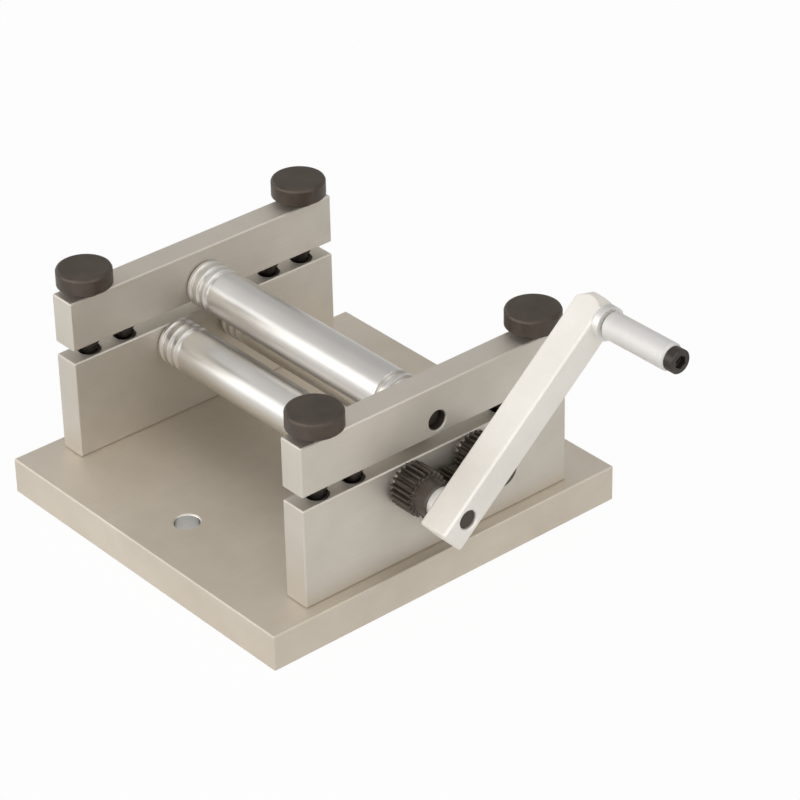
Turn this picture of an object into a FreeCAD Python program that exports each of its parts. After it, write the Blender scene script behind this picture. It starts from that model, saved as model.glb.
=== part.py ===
import FreeCAD, Part
import math
import os

import Sketcher

# Slip roll machine: three rolls between two side plates on a flat base.
# X runs along the rolls, towards the crank; Y runs to the back; Z is up.
# The origin is the centre of the base's underside.

Vector = FreeCAD.Vector
doc = FreeCAD.newDocument("slip_roll")
sheet = doc.addObject("Spreadsheet::Sheet", "Sizes")

SIZES = [
    # base plate
    ("base_lip", 6.0, "base plate, past the outer faces of the side plates"),
    ("base_depth", 176.0, "base plate, front to back"),
    ("base_thickness", 16.0, "base plate"),
    ("mount_hole_radius", 5.25, "bench bolt holes"),
    ("mount_hole_spacing", 128.0, "bench bolt holes, front to back"),
    ("edge_break", 0.5, "chamfer on plates and bars"),
    ("hole_break", 0.6, "chamfer at the mouth of open holes"),
    # side plates and upper bars
    ("roll_space", 132.0, "between the inner faces of the side plates"),
    ("side_thickness", 12.0, "side plates and upper bars"),
    ("side_depth", 134.0, "side plates and upper bars, front to back"),
    ("side_height", 44.0, "side plates"),
    ("bar_height", 22.0, "upper bars"),
    ("bar_gap", 5.7, "between side plates and upper bars at rest"),
    # rolls
    ("roll_radius", 10.0, "all three rolls"),
    ("roll_end_play", 0.3, "between a roll's shoulder and a side plate"),
    ("roll_break", 0.6, "chamfer on the rolls' shoulders"),
    ("journal_radius", 4.0, "journals of all three rolls"),
    ("journal_break", 0.5, "chamfer on the ends of journals"),
    ("journal_recess", 3.0, "from a plate's outer face in to a journal's end"),
    ("lower_roll_offset", 16.2, "lower roll axis, in front of or behind the middle"),
    ("lower_roll_drop", 8.7, "lower roll axis, below the side plate's top"),
    ("upper_roll_rise", 6.4, "upper roll axis, above the bar's underside"),
    ("groove_radius_small", 1.0, "wire groove nearest the roll's end"),
    ("groove_radius_middle", 1.25, "middle wire groove"),
    ("groove_radius_large", 1.6, "wire groove furthest from the roll's end"),
    ("groove_start", 3.0, "roll's end to the middle of the first groove"),
    ("groove_pitch", 4.7, "from one wire groove to the next"),
    # fits
    ("running_clearance", 0.03, "radial, between a shaft and its bore"),
    ("fixed_clearance", 0.01, "radial, between a fixed piece and its hole"),
    # gear train
    ("roll_gear_diameter", 17.6, "pitch circle of the gears on the lower rolls"),
    ("roll_gear_teeth", 22, "gears on the lower rolls"),
    ("idler_teeth", 28, "gear between and below them"),
    ("pressure_angle", 20.0, "degrees"),
    ("root_depth", 1.25, "below the pitch circle, in modules"),
    ("backlash", 0.1, "taken off each gear's tooth thickness"),
    ("gear_face", 10.8, "width of the teeth"),
    ("gear_hub_radius", 7.5, "hub on the crank side of a roll gear"),
    ("gear_hub_length", 7.5, "hub on the crank side of a roll gear"),
    ("gear_break", 0.4, "chamfer on the gear hubs"),
    ("thrust_washer_radius", 7.4, "washers between the side plate and the gears"),
    ("thrust_washer_thickness", 1.0, "washers between the side plate and the gears"),
    ("thrust_gap", 0.2, "end play of the gears"),
    ("idler_pin_radius", 4.0, "shoulder of the idler's screw"),
    ("idler_head_radius", 6.5, "head of the idler's screw"),
    ("idler_head_length", 4.5, "head of the idler's screw"),
    ("set_screw_radius", 2.0, "gear set screws"),
    # crank
    ("spacer_radius", 6.8, "collar between the front gear and the arm"),
    ("spacer_length", 2.5, "collar between the front gear and the arm"),
    ("arm_thickness", 14.0, "crank arm, along the shaft"),
    ("arm_width", 13.2, "crank arm, across"),
    ("arm_break", 0.8, "chamfer on the arm's edges"),
    ("crank_length", 91.2, "shaft to handle"),
    ("arm_foot", 11.0, "shaft to the arm's lower end"),
    ("arm_tip", 7.3, "handle to the arm's upper end"),
    ("arm_tip_radius", 4.6, "flat left at the upper end inside its turned chamfer"),
    ("crank_angle", 40.5, "degrees above level, leaning to the back"),
    ("shaft_recess", 1.2, "from the arm's outer face in to the shaft's end"),
    ("arm_screw_radius", 2.5, "set screw in the arm's foot"),
    # handle
    ("grip_radius", 5.7, "grip"),
    ("grip_length", 33.1, "grip"),
    ("grip_break", 1.0, "chamfer on the grip's ends"),
    ("grip_clearance", 0.05, "radial, grip on its screw"),
    ("grip_end_play", 0.15, "at each end of the grip"),
    ("handle_washer_radius", 7.0, "washer between the arm and the grip"),
    ("handle_washer_thickness", 3.0, "washer between the arm and the grip"),
    ("handle_thread_reach", 10.0, "handle screw, into the arm"),
    ("handle_head_length", 4.2, "low head of the handle screw"),
    # six-millimetre screws
    ("screw_radius", 3.0, "shanks of the cap screws, thumbscrews and handle screw"),
    ("screw_head_radius", 5.0, "socket heads"),
    ("screw_head_length", 5.3, "socket heads"),
    ("socket_across_flats", 5.0, "hexagon sockets"),
    ("socket_depth", 2.6, "hexagon sockets"),
    ("screw_hole_clearance", 0.3, "radial, round a shank that passes through"),
    ("side_screw_spacing", 50.0, "cap screws under the side plates, front to back"),
    ("side_screw_reach", 12.0, "cap screws, into the side plate"),
    ("head_recess", 0.7, "cap screw heads, above the base's underside"),
    # thumbscrews, springs and guide pins
    ("knob_inset", 12.0, "thumbscrew axis, from the end of the bar"),
    ("knob_radius", 11.5, "thumbscrew head"),
    ("knob_thickness", 7.5, "thumbscrew head"),
    ("knob_edge", 1.2, "rounding of the thumbscrew head"),
    ("knob_hub_radius", 7.0, "hub under the head"),
    ("knob_hub_height", 2.8, "hub under the head"),
    ("thumb_reach", 13.0, "thumbscrew shank, below the side plate's top"),
    ("thumb_hole_depth", 20.0, "threaded hole for it"),
    ("pin_spacing", 17.5, "thumbscrew axis to guide pin axis"),
    ("guide_pin_radius", 3.0, "guide pins"),
    ("guide_pin_seat", 14.0, "guide pin, below the side plate's top"),
    ("guide_pin_reach", 10.0, "guide pin, above the bar's underside"),
    ("guide_hole_depth", 16.0, "hole for it in the bar"),
    ("spring_radius", 4.4, "outside of the springs"),
    ("spring_wire", 1.1, "square wire of the springs"),
    ("spring_turns", 3.5, "turns in a spring"),
    ("spring_closed", 0.5, "share of a turn that lies flat at each end"),
    ("spring_flats", 10, "flats that make one turn"),
    ("spring_pocket_radius", 4.8, "spring pockets"),
    ("spring_pocket_depth", 3.2, "spring pockets"),
]

for row, (alias, value, note) in enumerate(SIZES, start=1):
    sheet.set("A%d" % row, alias)
    sheet.set("B%d" % row, str(value))
    sheet.set("C%d" % row, note)
    sheet.setAlias("B%d" % row, alias)
doc.recompute()


class Size:
    """A length with its value now and the sheet expression that gives it."""

    def __init__(self, value, text):
        self.value = float(value)
        self.text = text

    def __add__(self, other):
        other = as_size(other)
        return Size(self.value + other.value, "(%s + %s)" % (self.text, other.text))

    def __sub__(self, other):
        other = as_size(other)
        return Size(self.value - other.value, "(%s - %s)" % (self.text, other.text))

    def __mul__(self, other):
        other = as_size(other)
        return Size(self.value * other.value, "(%s * %s)" % (self.text, other.text))

    def __truediv__(self, other):
        other = as_size(other)
        return Size(self.value / other.value, "(%s / %s)" % (self.text, other.text))

    def __neg__(self):
        return Size(-self.value, "(0 - %s)" % self.text)

    def __rsub__(self, other):
        return as_size(other) - self

    def __rtruediv__(self, other):
        return as_size(other) / self

    __radd__ = __add__
    __rmul__ = __mul__


def as_size(number):
    return number if isinstance(number, Size) else Size(number, repr(float(number)))


# Angles are plain numbers of degrees.


def square_root(size):
    return Size(math.sqrt(size.value), "sqrt(%s)" % size.text)


def larger(one, other):
    return Size(max(one.value, other.value), "max(%s; %s)" % (one.text, other.text))


def arc_cosine(size):
    return Size(math.degrees(math.acos(size.value)), "(acos(%s) / 1deg)" % size.text)


def cosine(angle):
    return Size(math.cos(math.radians(angle.value)), "cos(%s * 1deg)" % angle.text)


def sine(angle):
    return Size(math.sin(math.radians(angle.value)), "sin(%s * 1deg)" % angle.text)


def tangent(angle):
    return Size(math.tan(math.radians(angle.value)), "tan(%s * 1deg)" % angle.text)


class Sheet:
    """Reads a driving size by its alias: S.roll_radius."""

    def __getattr__(self, alias):
        return Size(sheet.get(alias), "Sizes." + alias)


S = Sheet()
ZERO = as_size(0)

# ---------------------------------------------------------------- places worked out from the sizes

plate_inner = S.roll_space / 2
plate_outer = plate_inner + S.side_thickness
plate_middle = plate_inner + S.side_thickness / 2
base_side = plate_outer + S.base_lip
plate_bottom = S.base_thickness
plate_top = plate_bottom + S.side_height
bar_bottom = plate_top + S.bar_gap
bar_top = bar_bottom + S.bar_height
side_end = S.side_depth / 2

lower_roll_z = plate_top - S.lower_roll_drop
upper_roll_z = bar_bottom + S.upper_roll_rise
journal_bore = S.journal_radius + S.running_clearance
roll_end = plate_inner - S.roll_end_play

gear_start = plate_outer + S.thrust_washer_thickness + S.thrust_gap
gear_end = gear_start + S.gear_face
hub_end = gear_end + S.gear_hub_length
arm_start = hub_end + S.spacer_length
arm_end = arm_start + S.arm_thickness

gear_module = S.roll_gear_diameter / S.roll_gear_teeth
gear_distance = (S.roll_gear_teeth + S.idler_teeth) * gear_module / 2
idler_drop = square_root(gear_distance * gear_distance - S.lower_roll_offset * S.lower_roll_offset)
idler_z = lower_roll_z - idler_drop

thumb_y = side_end - S.knob_inset
guide_y = thumb_y - S.pin_spacing
spring_bottom = plate_top - S.spring_pocket_depth
spring_length = S.bar_gap + S.spring_pocket_depth * 2

grip_start = arm_end + S.handle_washer_thickness + S.grip_end_play
grip_end = grip_start + S.grip_length
handle_head_start = grip_end + S.grip_end_play

# ---------------------------------------------------------------- ways of making a piece


def bind(thing, path, size):
    thing.setExpression(path, as_size(size).text)


def origin_part(body, role):
    return [part for part in body.Origin.OriginFeatures if part.Role == role][0]


def new_body(label):
    body = doc.addObject("PartDesign::Body", label)
    body.Label = label
    return body


def new_sketch(body, plane, name, offset=ZERO):
    sketch = body.newObject("Sketcher::SketchObject", body.Label + "_" + name)
    sketch.AttachmentSupport = (origin_part(body, plane), [""])
    sketch.MapMode = "FlatFace"
    sketch.AttachmentOffset = FreeCAD.Placement(Vector(0, 0, offset.value), FreeCAD.Rotation())
    bind(sketch, "AttachmentOffset.Base.z", offset)
    return sketch


def hold(sketch, geometry, point, u, v):
    """Ties a point of the sketch to its place in the sheet."""
    for kind, axis, place in (("DistanceX", -2, u), ("DistanceY", -1, v)):
        if place is ZERO:
            sketch.addConstraint(Sketcher.Constraint("PointOnObject", geometry, point, axis))
        else:
            index = sketch.addConstraint(Sketcher.Constraint(kind, -1, 1, geometry, point, place.value))
            bind(sketch, "Constraints[%d]" % index, place)


def draw_outline(sketch, points):
    """A closed outline of straight lines through (u, v) points."""
    first = sketch.GeometryCount
    count = len(points)
    corners = [Vector(u.value, v.value, 0) for u, v in points]
    for i in range(count):
        sketch.addGeometry(Part.LineSegment(corners[i], corners[(i + 1) % count]))
    for i, (u, v) in enumerate(points):
        following = first + (i + 1) % count
        sketch.addConstraint(Sketcher.Constraint("Coincident", first + i, 2, following, 1))
        hold(sketch, first + i, 1, u, v)


def draw_circle(sketch, u, v, radius):
    centre = Vector(u.value, v.value, 0)
    index = sketch.addGeometry(Part.Circle(centre, Vector(0, 0, 1), radius.value))
    hold(sketch, index, 3, u, v)
    constraint = sketch.addConstraint(Sketcher.Constraint("Radius", index, radius.value))
    bind(sketch, "Constraints[%d]" % constraint, radius)


def draw_rectangle(sketch, low_u, low_v, high_u, high_v):
    draw_outline(sketch, [(low_u, low_v), (high_u, low_v), (high_u, high_v), (low_u, high_v)])


def add_feature(body, kind, name, sketch):
    feature = body.newObject("PartDesign::" + kind, body.Label + "_" + name)
    feature.Profile = sketch
    sketch.Visibility = False
    return feature


def pad(body, sketch, length, name="pad"):
    feature = add_feature(body, "Pad", name, sketch)
    bind(feature, "Length", length)
    return feature


def pocket(body, sketch, depth, name, against_normal=True):
    """Cuts from the sketch's plane, against or along its normal."""
    feature = add_feature(body, "Pocket", name, sketch)
    feature.Reversed = not against_normal
    bind(feature, "Length", depth)
    return feature


def edges_where(feature, test):
    doc.recompute()
    return ["Edge%d" % (i + 1) for i, edge in enumerate(feature.Shape.Edges) if test(edge)]


def chamfer(body, feature, size, name="edges", test=lambda edge: True):
    """Breaks the edges of a feature that pass the test: all of them by default."""
    broken = body.newObject("PartDesign::Chamfer", body.Label + "_" + name)
    broken.Base = (feature, edges_where(feature, test))
    bind(broken, "Size", size)
    return broken


def round_rim(normal, level, radius):
    """Picks circles of one radius that lie in the plane normal = level."""
    def test(edge):
        if not isinstance(edge.Curve, Part.Circle):
            return False
        if abs(edge.Curve.Radius - radius.value) > 1e-6:
            return False
        return abs(edge.Curve.Center.dot(normal) - level.value) < 1e-6
    return test


def turned(label, axis, points):
    """A turned piece: (distance along the axis, radius) points, revolved."""
    body = new_body(label)
    if axis == "X":
        sketch = new_sketch(body, "XY_Plane", "profile")
        draw_outline(sketch, points)
    else:
        sketch = new_sketch(body, "XZ_Plane", "profile")
        draw_outline(sketch, [(radius, along) for along, radius in points])
    feature = add_feature(body, "Revolution", "turning", sketch)
    feature.ReferenceAxis = (origin_part(body, axis + "_Axis"), [""])
    feature.Angle = 360
    return body


def place(body, x=ZERO, y=ZERO, z=ZERO, turn=ZERO):
    """Puts a piece at x, y, z, turned about its X axis by so many degrees."""
    spot = Vector(x.value, y.value, z.value)
    body.Placement = FreeCAD.Placement(spot, FreeCAD.Rotation(Vector(1, 0, 0), turn.value))
    for letter, size in (("x", x), ("y", y), ("z", z)):
        bind(body, "Placement.Base." + letter, size)
    if turn is not ZERO:
        bind(body, "Placement.Rotation.Angle", turn)


def copies(label, pattern, spots):
    """One node of like pieces: a compound of links to one pattern, each at its spot."""
    links = []
    for number, (x, y, z) in enumerate(spots, start=1):
        link = doc.addObject("App::Link", "%s_%d" % (label, number))
        link.LinkedObject = pattern
        place(link, x=x, y=y, z=z)
        links.append(link)
    group = doc.addObject("Part::Compound", label)
    group.Label = label
    group.Links = links
    return group


def pin_points(start, end, radius, rim):
    """Profile of a plain pin with the rim of its far end broken."""
    return [
        (start, ZERO),
        (start, radius),
        (end - rim, radius),
        (end, radius - rim),
        (end, ZERO),
    ]


def ring_points(start, end, bore, radius):
    """Profile of a plain ring."""
    return [(start, bore), (start, radius), (end, radius), (end, bore)]


def hexagon_points(across_flats):
    corner = across_flats / 2 / math.cos(math.radians(30))
    points = []
    for i in range(6):
        angle = math.radians(60 * i + 30)
        points.append((corner * math.cos(angle), corner * math.sin(angle)))
    return points


def hexagon_socket(body, plane, level, against_normal):
    """A hexagon socket cut into a screw head from the plane at that level."""
    sketch = new_sketch(body, plane, "socket_outline", level)
    draw_outline(sketch, hexagon_points(S.socket_across_flats))
    pocket(body, sketch, S.socket_depth, "socket", against_normal)


# ---------------------------------------------------------------- base plate

BOTH = (-1, 1)
SIDES = (("left", -1), ("right", 1))


def make_base():
    """Flat plate with two bench bolt holes and counterbores for the side plates' screws."""
    body = new_body("base_plate")
    outline = new_sketch(body, "XY_Plane", "outline")
    draw_rectangle(outline, -base_side, -S.base_depth / 2, base_side, S.base_depth / 2)
    plate = chamfer(body, pad(body, outline, S.base_thickness), S.edge_break)
    bolts = new_sketch(body, "XY_Plane", "bolt_holes", S.base_thickness)
    for end in BOTH:
        draw_circle(bolts, ZERO, S.mount_hole_spacing / 2 * end, S.mount_hole_radius)
    drilled = pocket(body, bolts, S.base_thickness, "bolt_drilling")
    up = Vector(0, 0, 1)
    rims = chamfer(body, drilled, S.hole_break, "bolt_rims",
                   round_rim(up, S.base_thickness, S.mount_hole_radius))
    for name, radius, depth in (
            ("screw", S.screw_radius + S.screw_hole_clearance, S.base_thickness),
            ("counterbore", S.screw_head_radius + S.screw_hole_clearance,
             S.screw_head_length + S.head_recess)):
        holes = new_sketch(body, "XY_Plane", name + "_holes")
        for side in BOTH:
            for step in (-1, 0, 1):
                y = S.side_screw_spacing * step if step else ZERO
                draw_circle(holes, plate_middle * side, y, radius)
        pocket(body, holes, depth, name + "_drilling", against_normal=False)
    return body


def make_side_screws():
    """Six socket cap screws, up through the base into the side plates."""
    head_bottom = S.head_recess
    head_top = head_bottom + S.screw_head_length
    screw = turned("side_screw_pattern", "Z", [
        (head_bottom, ZERO),
        (head_bottom, S.screw_head_radius),
        (head_top, S.screw_head_radius),
        (head_top, S.screw_radius),
        (plate_bottom + S.side_screw_reach, S.screw_radius),
        (plate_bottom + S.side_screw_reach, ZERO),
    ])
    hexagon_socket(screw, "XY_Plane", head_bottom, against_normal=False)
    spots = []
    for side in BOTH:
        for step in (-1, 0, 1):
            spots.append((plate_middle * side, S.side_screw_spacing * step, ZERO))
    return copies("side_plate_screws", screw, spots)


# ---------------------------------------------------------------- side plates and upper bars


def make_upright(label, side, bottom, height, journal_places):
    """A side plate or an upper bar: a block bored for the rolls' journals."""
    body = new_body(label)
    outline = new_sketch(body, "YZ_Plane", "outline")
    draw_rectangle(outline, -side_end, bottom, side_end, bottom + height)
    block = chamfer(body, pad(body, outline, S.side_thickness), S.edge_break)
    bores = new_sketch(body, "YZ_Plane", "journal_bores", S.side_thickness)
    for y, z in journal_places:
        draw_circle(bores, y, z, journal_bore)
    bored = pocket(body, bores, S.side_thickness, "journal_boring")
    along = Vector(1, 0, 0)
    outer_face = S.side_thickness if side > 0 else ZERO
    chamfer(body, bored, S.hole_break, "bore_rims", round_rim(along, outer_face, journal_bore))
    place(body, x=plate_inner if side > 0 else -plate_outer)
    return body


def drill_ends(body, name, level, depth, holes, against_normal):
    """Holes along Z near both ends of a side plate or a bar."""
    sketch = new_sketch(body, "XY_Plane", name + "_circles", level)
    for y, radius in holes:
        for end in BOTH:
            draw_circle(sketch, S.side_thickness / 2, y * end, radius)
    pocket(body, sketch, depth, name, against_normal)


def make_side_plate(name, side):
    journals = [(S.lower_roll_offset * end, lower_roll_z) for end in BOTH]
    body = make_upright(name + "_side_plate", side, plate_bottom, S.side_height, journals)
    pockets = [(thumb_y, S.spring_pocket_radius), (guide_y, S.spring_pocket_radius)]
    drill_ends(body, "spring_pockets", plate_top, S.spring_pocket_depth, pockets, True)
    threads = [(thumb_y, S.screw_radius + S.running_clearance)]
    drill_ends(body, "thumb_threads", plate_top, S.thumb_hole_depth, threads, True)
    seats = [(guide_y, S.guide_pin_radius + S.fixed_clearance)]
    drill_ends(body, "guide_seats", plate_top, S.guide_pin_seat, seats, True)
    sketch = new_sketch(body, "XY_Plane", "base_thread_circles", plate_bottom)
    for step in (-1, 0, 1):
        y = S.side_screw_spacing * step if step else ZERO
        draw_circle(sketch, S.side_thickness / 2, y, S.screw_radius + S.fixed_clearance)
    pocket(body, sketch, S.side_screw_reach, "base_threads", against_normal=False)
    if side > 0:
        stud = new_sketch(body, "YZ_Plane", "idler_thread_circle", S.side_thickness)
        draw_circle(stud, ZERO, idler_z, S.screw_radius + S.fixed_clearance)
        pocket(body, stud, S.side_thickness, "idler_thread")
    return body


def make_upper_bar(name, side):
    body = make_upright(name + "_upper_bar", side, bar_bottom, S.bar_height, [(ZERO, upper_roll_z)])
    pockets = [(thumb_y, S.spring_pocket_radius), (guide_y, S.spring_pocket_radius)]
    drill_ends(body, "spring_pockets", bar_bottom, S.spring_pocket_depth, pockets, False)
    shanks = [(thumb_y, S.screw_radius + S.screw_hole_clearance)]
    drill_ends(body, "thumb_holes", bar_bottom, S.bar_height, shanks, False)
    guides = [(guide_y, S.guide_pin_radius + S.running_clearance)]
    drill_ends(body, "guide_holes", bar_bottom, S.guide_hole_depth, guides, False)
    return body


def make_guide_pins():
    """Four dowels pressed into the side plates; the upper bars slide on them."""
    pin = turned("guide_pin_pattern", "Z", pin_points(
        plate_top - S.guide_pin_seat, bar_bottom + S.guide_pin_reach, S.guide_pin_radius, S.journal_break))
    spots = [(plate_middle * side, guide_y * end, ZERO) for side in BOTH for end in BOTH]
    return copies("guide_pins", pin, spots)


# ---------------------------------------------------------------- thumbscrews and springs


def make_thumbscrew(label, side, end):
    """Disc-headed screw: its hub presses the bar down, its shank turns in the side plate."""
    hub_top = bar_top + S.knob_hub_height
    head_top = hub_top + S.knob_thickness
    third = S.knob_edge / 3
    body = turned(label, "Z", [
        (plate_top - S.thumb_reach, ZERO),
        (plate_top - S.thumb_reach, S.screw_radius),
        (bar_top, S.screw_radius),
        (bar_top, S.knob_hub_radius),
        (hub_top, S.knob_hub_radius),
        (hub_top, S.knob_radius - third),
        (hub_top + third, S.knob_radius),
        (head_top - S.knob_edge, S.knob_radius),
        (head_top - third, S.knob_radius - third),
        (head_top, S.knob_radius - S.knob_edge),
        (head_top, ZERO),
    ])
    place(body, x=plate_middle * side, y=thumb_y * end)
    return body


def make_spring_pattern():
    """One coil of square wire, closed at both ends, with a few flats to each turn."""
    flats = int(S.spring_flats.value)
    count = round(S.spring_turns.value * flats)
    half = S.spring_wire.value / 2
    outer = S.spring_radius.value
    low = spring_bottom.value + half
    climb = (spring_length - S.spring_wire).value
    closed = S.spring_closed.value

    def ring(station):
        turn = station / flats
        share = (turn - closed) / (S.spring_turns.value - 2 * closed)
        z = low + climb * min(1.0, max(0.0, share))
        angle = 2 * math.pi * turn
        corners = ((outer, z - half), (outer, z + half), (outer - 2 * half, z + half),
                   (outer - 2 * half, z - half))
        return [Vector(r * math.cos(angle), r * math.sin(angle), height) for r, height in corners]

    def face(*points):
        return Part.Face(Part.makePolygon([*points, points[0]]))

    rings = [ring(station) for station in range(count + 1)]
    faces = [face(*reversed(rings[0])), face(*rings[-1])]
    for here, after in zip(rings, rings[1:]):
        for i in range(4):
            j = (i + 1) % 4
            faces.append(face(here[i], here[j], after[j]))
            faces.append(face(here[i], after[j], after[i]))
    coil = doc.addObject("Part::Feature", "spring_pattern")
    coil.Shape = Part.Solid(Part.makeShell(faces))
    coil.Placement = FreeCAD.Placement()
    return coil


def make_springs():
    """Eight springs: one round each thumbscrew's shank and one round each guide pin."""
    coil = make_spring_pattern()
    spots = []
    for side in BOTH:
        for end in BOTH:
            for y in (thumb_y, guide_y):
                spots.append((plate_middle * side, y * end, ZERO))
    return copies("pressure_springs", coil, spots)


# ---------------------------------------------------------------- rolls


def draw_wire_groove(sketch, middle, radius):
    """Half a hexagon sunk in the roll's surface: room for a wire of that radius."""
    surface = S.roll_radius
    floor = surface - radius * math.sin(math.pi / 3)
    draw_outline(sketch, [
        (middle - radius, surface + radius),
        (middle - radius, surface),
        (middle - radius / 2, floor),
        (middle + radius / 2, floor),
        (middle + radius, surface),
        (middle + radius, surface + radius),
    ])


def make_roll(label, y, z, right_end):
    """Ground roll with a journal at each end and wire grooves near both shoulders."""
    left_end = -(plate_outer - S.journal_recess)
    body = turned(label, "X", [
        (left_end, ZERO),
        (left_end, S.journal_radius - S.journal_break),
        (left_end + S.journal_break, S.journal_radius),
        (-roll_end, S.journal_radius),
        (-roll_end, S.roll_radius - S.roll_break),
        (-roll_end + S.roll_break, S.roll_radius),
        (roll_end - S.roll_break, S.roll_radius),
        (roll_end, S.roll_radius - S.roll_break),
        (roll_end, S.journal_radius),
        (right_end - S.journal_break, S.journal_radius),
        (right_end, S.journal_radius - S.journal_break),
        (right_end, ZERO),
    ])
    sketch = new_sketch(body, "XY_Plane", "wire_groove_sections")
    widths = (S.groove_radius_small, S.groove_radius_middle, S.groove_radius_large)
    for step, radius in enumerate(widths):
        inward = roll_end - S.groove_start - S.groove_pitch * step
        for side in BOTH:
            draw_wire_groove(sketch, inward * side, radius)
    grooves = add_feature(body, "Groove", "wire_grooves", sketch)
    grooves.ReferenceAxis = (origin_part(body, "X_Axis"), [""])
    grooves.Angle = 360
    place(body, y=y, z=z)
    return body


# ---------------------------------------------------------------- gear train


def polar(radius, angle):
    return radius * cosine(angle), radius * sine(angle)


def involute(angle):
    """Roll-off of an involute, in degrees, where its pressure angle is this one."""
    return tangent(angle) * math.degrees(1) - angle


def draw_arc_through(sketch, first, middle, last):
    """An arc held at its ends and at one point between them; gives the arc's number."""
    ends = [Vector(u.value, v.value, 0) for u, v in (first, middle, last)]
    arc = sketch.addGeometry(Part.ArcOfCircle(*ends))
    mark = sketch.addGeometry(Part.Point(ends[1]), True)
    starts_first = sketch.getPoint(arc, 1).distanceToPoint(ends[0]) < 1e-6
    hold(sketch, arc, 1 if starts_first else 2, *first)
    hold(sketch, arc, 2 if starts_first else 1, *last)
    hold(sketch, mark, 1, *middle)
    sketch.addConstraint(Sketcher.Constraint("PointOnObject", mark, 1, arc))


def draw_line(sketch, start, end):
    line = sketch.addGeometry(Part.LineSegment(
        Vector(start[0].value, start[1].value, 0), Vector(end[0].value, end[1].value, 0)))
    hold(sketch, line, 1, *start)
    hold(sketch, line, 2, *end)


def draw_tooth_space(sketch, teeth):
    """The space between two teeth, centred on the sketch's first axis.

    Each flank is an arc through three points of the true involute; below the
    base circle it runs straight in to the root.
    """
    pitch_radius = gear_module * teeth / 2
    base_radius = pitch_radius * cosine(S.pressure_angle)
    root_radius = pitch_radius - gear_module * S.root_depth
    outer_radius = pitch_radius + gear_module * S.root_depth
    start_radius = larger(base_radius, root_radius)
    middle_radius = (start_radius + outer_radius) / 2
    thinning = S.backlash / (2 * pitch_radius) * math.degrees(1)
    tooth_half = 90 / teeth - thinning + involute(S.pressure_angle)

    def space_half(radius):
        return 180 / teeth - tooth_half + involute(arc_cosine(base_radius / radius))

    def corners(sign):
        low_angle = space_half(start_radius) * sign
        return (polar(root_radius, low_angle),
                polar(start_radius, low_angle),
                polar(middle_radius, space_half(middle_radius) * sign),
                polar(outer_radius, space_half(outer_radius) * sign))

    root_a, low_a, middle_a, top_a = corners(-1)
    root_b, low_b, middle_b, top_b = corners(1)
    draw_line(sketch, root_a, low_a)
    draw_arc_through(sketch, low_a, middle_a, top_a)
    draw_line(sketch, top_a, top_b)
    draw_arc_through(sketch, low_b, middle_b, top_b)
    draw_line(sketch, low_b, root_b)
    draw_line(sketch, root_b, root_a)


def make_gear(label, teeth, bore, hub_length):
    """Spur gear: a turned blank, one tooth space cut through it and repeated all round."""
    body = new_body(label)
    tip_radius = (teeth + 2) * gear_module / 2
    blank = new_sketch(body, "YZ_Plane", "blank")
    draw_circle(blank, ZERO, ZERO, tip_radius)
    pad(body, blank, S.gear_face, "blank_pad")
    if hub_length is not ZERO:
        hub = new_sketch(body, "YZ_Plane", "hub", S.gear_face)
        draw_circle(hub, ZERO, ZERO, S.gear_hub_radius)
        hub_pad = pad(body, hub, hub_length, "hub_pad")
        far_end = S.gear_face + hub_length
        chamfer(body, hub_pad, S.gear_break, "hub_rim",
                round_rim(Vector(1, 0, 0), far_end, S.gear_hub_radius))
    hole = new_sketch(body, "YZ_Plane", "bore")
    draw_circle(hole, ZERO, ZERO, bore)
    pocket(body, hole, S.gear_face + hub_length, "bore_drilling", against_normal=False)
    space = new_sketch(body, "YZ_Plane", "tooth_space")
    draw_tooth_space(space, teeth)
    cut = pocket(body, space, S.gear_face, "tooth_cut", against_normal=False)
    teeth_round = body.newObject("PartDesign::PolarPattern", label + "_teeth")
    teeth_round.Originals = [cut]
    teeth_round.Axis = (origin_part(body, "X_Axis"), [""])
    teeth_round.Angle = 360
    bind(teeth_round, "Occurrences", teeth)
    body.Tip = teeth_round
    return body


def drill_hub(body):
    """Radial hole for the set screw in a roll gear's hub."""
    sketch = new_sketch(body, "XY_Plane", "set_screw_circle")
    draw_circle(sketch, S.gear_face + S.gear_hub_length / 2, ZERO, S.set_screw_radius + S.fixed_clearance)
    pocket(body, sketch, S.gear_hub_radius, "set_screw_hole", against_normal=False)


def make_set_screw(label, radius, outer, x, y, turn):
    """Grub screw with its point on a lower roll's journal, reaching out to the radius outer."""
    inner = S.journal_radius + S.fixed_clearance
    body = turned(label, "Z", pin_points(inner, outer, radius, S.gear_break))
    place(body, x=x, y=y, z=lower_roll_z, turn=turn)
    return body


def make_gear_screw(label, y, turn):
    middle = gear_end + S.gear_hub_length / 2
    return make_set_screw(label, S.set_screw_radius, S.gear_hub_radius - S.gear_break, middle, y, turn)


# Angle of the line from a roll gear down to the idler, and each gear's turn
# about X that puts its teeth in mesh: every gear's first space lies on its own +Y.
mesh_angle = arc_cosine(S.lower_roll_offset / gear_distance)
half_tooth = 180 / S.roll_gear_teeth
front_gear_turn = -mesh_angle - half_tooth
idler_turn = 180 - mesh_angle
rear_gear_turn = 180 + mesh_angle - (180 - mesh_angle * 2) * S.idler_teeth / S.roll_gear_teeth - half_tooth


def make_roll_gear(label, y, turn):
    body = make_gear(label, S.roll_gear_teeth, S.journal_radius + S.fixed_clearance, S.gear_hub_length)
    drill_hub(body)
    place(body, x=gear_start, y=y, z=lower_roll_z, turn=turn)
    return body


def make_idler():
    body = make_gear("idler_gear", S.idler_teeth, S.idler_pin_radius + S.running_clearance, ZERO)
    place(body, x=gear_start, z=idler_z, turn=idler_turn)
    return body


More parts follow.
